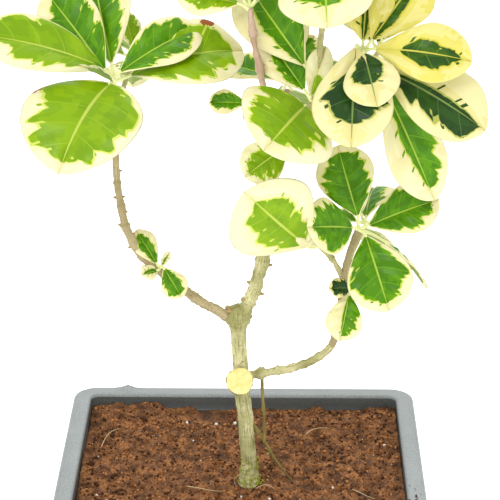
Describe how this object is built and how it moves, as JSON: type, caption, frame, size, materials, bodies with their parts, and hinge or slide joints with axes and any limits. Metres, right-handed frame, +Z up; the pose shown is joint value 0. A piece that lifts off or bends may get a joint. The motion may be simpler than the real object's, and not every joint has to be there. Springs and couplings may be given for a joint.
{
  "type": "potted variegated coprosma bonsai",
  "caption": "Young bonsai shrub with glossy cream-edged green leaves on a leaning, forking trunk, growing in a low rectangular grey training tray of soil.",
  "frame": {"origin": "middle of the tray's flat underside", "axes": "+Z up, +X to the viewer's right along the tray's long side, +Y away from the viewer"},
  "size_m": [0.2065, 0.14, 0.31],
  "materials": {
    "tray": "dark grey moulded plastic, faintly speckled, satin on the lip",
    "soil": "reddish-brown crumbly potting mix",
    "bark": "thin olive to beige bark with fine lengthwise cracks and scars",
    "cut_wood": "fresh pale-yellow sawn wood, matte",
    "root": "thin olive-brown aerial root",
    "leaf": "glossy green leaf with cream to pale-yellow edge"
  },
  "bodies": {
    "root": {"tray": "tray", "soil": "soil", "trunk": "bark", "left_bough_lower": "bark", "left_bough_upper": "bark", "left_back_shoot": "bark", "main_bough": "bark", "centre_shoot": "bark", "right_shoot": "bark", "top_shoot": "bark", "back_shoot": "bark", "right_back_shoot": "bark", "right_bough_lower": "bark", "right_bough_upper": "bark", "right_twig": "bark", "right_back_twig": "bark", "cut_stub": "cut_wood", "surface_root": "root", "hanging_root": "root", "foliage_side_leaf": "leaf", "foliage_left_crown": "leaf", "foliage_left_back": "leaf", "foliage_left_sprout": "leaf", "foliage_centre": "leaf", "foliage_top_left": "leaf", "foliage_top_right": "leaf", "foliage_right_crown": "leaf", "foliage_right_back": "leaf", "foliage_middle_upper": "leaf", "foliage_back_centre": "leaf", "foliage_middle_lower": "leaf", "foliage_right_rosette": "leaf", "foliage_right_low_back": "leaf", "foliage_right_sprig": "leaf"}
  },
  "joints": []
}
